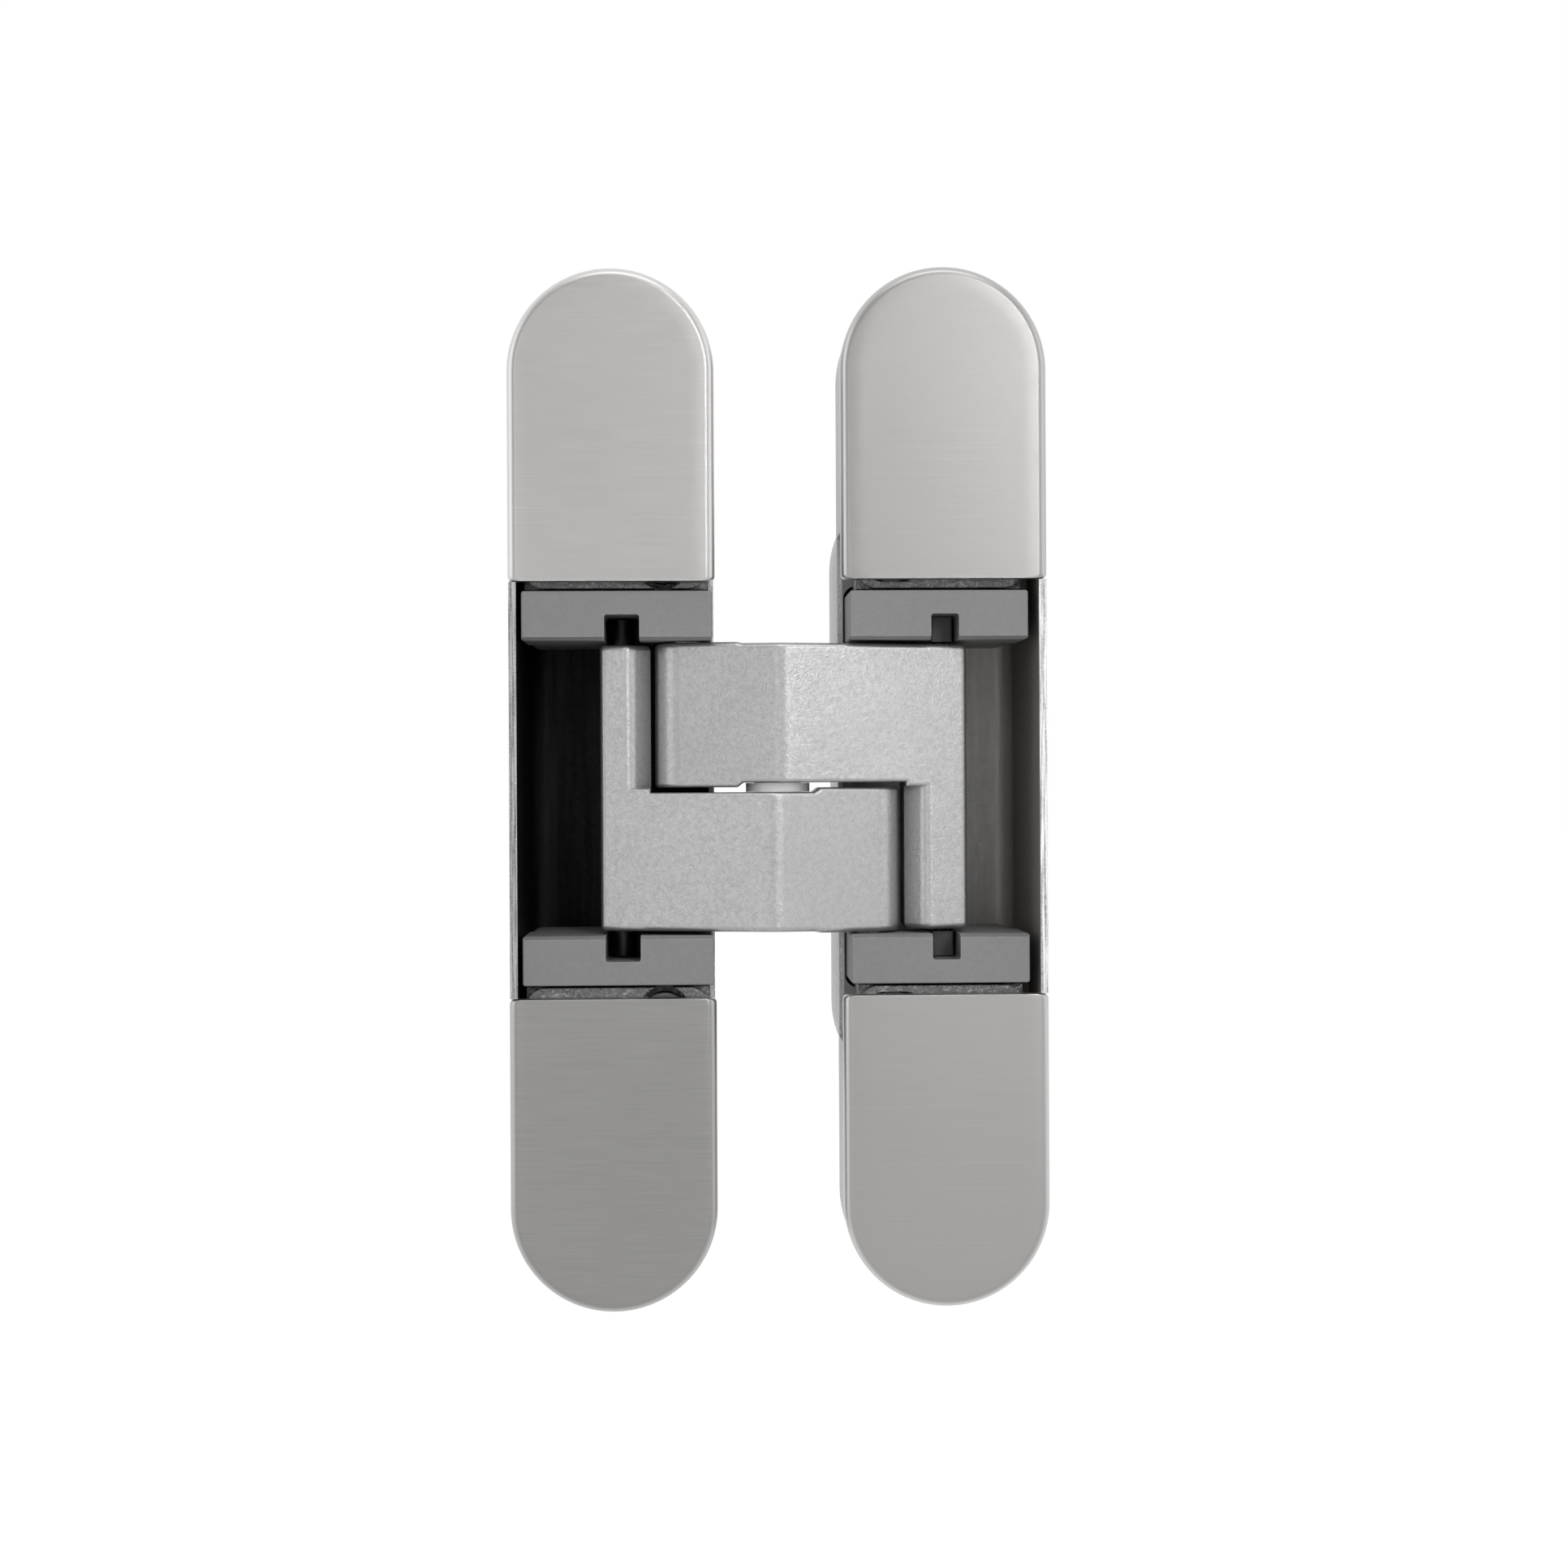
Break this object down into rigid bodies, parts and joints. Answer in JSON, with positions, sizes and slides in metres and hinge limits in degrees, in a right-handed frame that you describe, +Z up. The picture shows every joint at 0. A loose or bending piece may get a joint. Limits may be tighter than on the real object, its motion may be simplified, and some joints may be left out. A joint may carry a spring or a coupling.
{
  "type": "concealed door hinge",
  "caption": "Concealed door hinge with two rounded leaves, crossed scissor arms on pins, sliding pins in the leaf carriers and cover caps over the fixing screws.",
  "frame": {"origin": "on the line of the frame leaf's fixing holes, halfway between its ends, at the back face of the ends where they meet the wood", "axes": "+X towards the door leaf with the hinge opened flat, +Y into the leaf pockets, +Z up along the pins"},
  "size_m": [0.0575, 0.027, 0.1112],
  "materials": {
    "satin_cover": "satin, finely brushed across",
    "cast_zinc": "raw die casting",
    "carrier_grey": "matt grey",
    "arm_satin": "fine-grained satin silver powder coat",
    "black_steel": "blackened",
    "bright_steel": "ground",
    "spacer_grey": "moulded",
    "shoe_plastic": "moulded"
  },
  "bodies": {
    "frame_leaf": {"frame_housing": "cast_zinc", "frame_cap_upper": "satin_cover", "frame_cap_lower": "satin_cover", "frame_clamp_screw_upper": "black_steel", "frame_clamp_screw_lower": "black_steel"},
    "frame_carriers": {"frame_carrier_upper": "carrier_grey", "frame_carrier_lower": "carrier_grey", "frame_pivot_pin": "bright_steel"},
    "upper_arm": {"arm_upper": "arm_satin", "centre_pin": "bright_steel", "centre_washer": "spacer_grey", "door_slider_pin": "black_steel"},
    "lower_arm": {"arm_lower": "arm_satin", "frame_slider_pin": "black_steel"},
    "door_shoes": {"door_shoe_upper": "shoe_plastic", "door_shoe_lower": "shoe_plastic"},
    "door_carriers": {"door_carrier_upper": "carrier_grey", "door_carrier_lower": "carrier_grey", "door_pivot_pin": "bright_steel"},
    "door_leaf": {"door_housing": "cast_zinc", "door_cap_upper": "satin_cover", "door_cap_lower": "satin_cover", "door_clamp_screw_upper": "black_steel", "door_clamp_screw_lower": "black_steel"},
    "frame_cam_upper": {"frame_cam_upper": "bright_steel"},
    "frame_cam_lower": {"frame_cam_lower": "bright_steel"},
    "door_cam_upper": {"door_cam_upper": "bright_steel"},
    "door_cam_lower": {"door_cam_lower": "bright_steel"}
  },
  "joints": [
    {"name": "height_slide", "type": "slide", "parent": "frame_leaf", "child": "frame_carriers", "axis": [0, 0, 1], "range_m": [-0.0008, 0.0008]},
    {"name": "fold", "type": "hinge", "parent": "frame_carriers", "child": "upper_arm", "pos_m": [0.008, -0.0058, 0.0002], "axis": [0, 0, -1], "range_deg": [0, 112]},
    {"name": "arm_crossing", "type": "hinge", "parent": "upper_arm", "child": "lower_arm", "pos_m": [0.01775, -0.0066, 0.0002], "axis": [0, 0, 1], "range_deg": [0, 44]},
    {"name": "shoe_turn", "type": "hinge", "parent": "upper_arm", "child": "door_shoes", "pos_m": [0.03565, -0.0031, 0.0002], "axis": [0, 0, -1], "range_deg": [0, 68]},
    {"name": "door_fold", "type": "hinge", "parent": "lower_arm", "child": "door_carriers", "pos_m": [0.0275, -0.0058, 0.0002], "axis": [0, 0, -1], "range_deg": [0, 112]},
    {"name": "side_slide", "type": "slide", "parent": "door_carriers", "child": "door_leaf", "axis": [1, 0, 0], "range_m": [-0.001, 0.001]},
    {"name": "frame_cam_upper_turn", "type": "hinge", "parent": "frame_leaf", "child": "frame_cam_upper", "pos_m": [-0.0052, 0.001, 0.0251], "axis": [0, -1, 0], "range_deg": [-37.99, 37.99]},
    {"name": "frame_cam_lower_turn", "type": "hinge", "parent": "frame_leaf", "child": "frame_cam_lower", "pos_m": [-0.0052, 0.001, -0.0247], "axis": [0, -1, 0], "range_deg": [-37.99, 37.99]},
    {"name": "door_cam_upper_turn", "type": "hinge", "parent": "door_leaf", "child": "door_cam_upper", "pos_m": [0.0407, 0.001, 0.0251], "axis": [0, -1, 0], "range_deg": [-50.3, 50.3]},
    {"name": "door_cam_lower_turn", "type": "hinge", "parent": "door_leaf", "child": "door_cam_lower", "pos_m": [0.0407, 0.001, -0.0247], "axis": [0, 1, 0], "range_deg": [-50.3, 50.3]}
  ],
  "couplings": [
    {"joint": "arm_crossing", "follows": "fold", "ratio": 0.39286},
    {"joint": "door_fold", "follows": "fold", "ratio": 1},
    {"joint": "shoe_turn", "follows": "fold", "ratio": 0.60714},
    {"joint": "frame_cam_upper_turn", "follows": "height_slide", "rad_per_m": 828.59},
    {"joint": "frame_cam_lower_turn", "follows": "height_slide", "rad_per_m": 828.59},
    {"joint": "door_cam_upper_turn", "follows": "side_slide", "rad_per_m": 877.64},
    {"joint": "door_cam_lower_turn", "follows": "side_slide", "rad_per_m": 877.64}
  ]
}
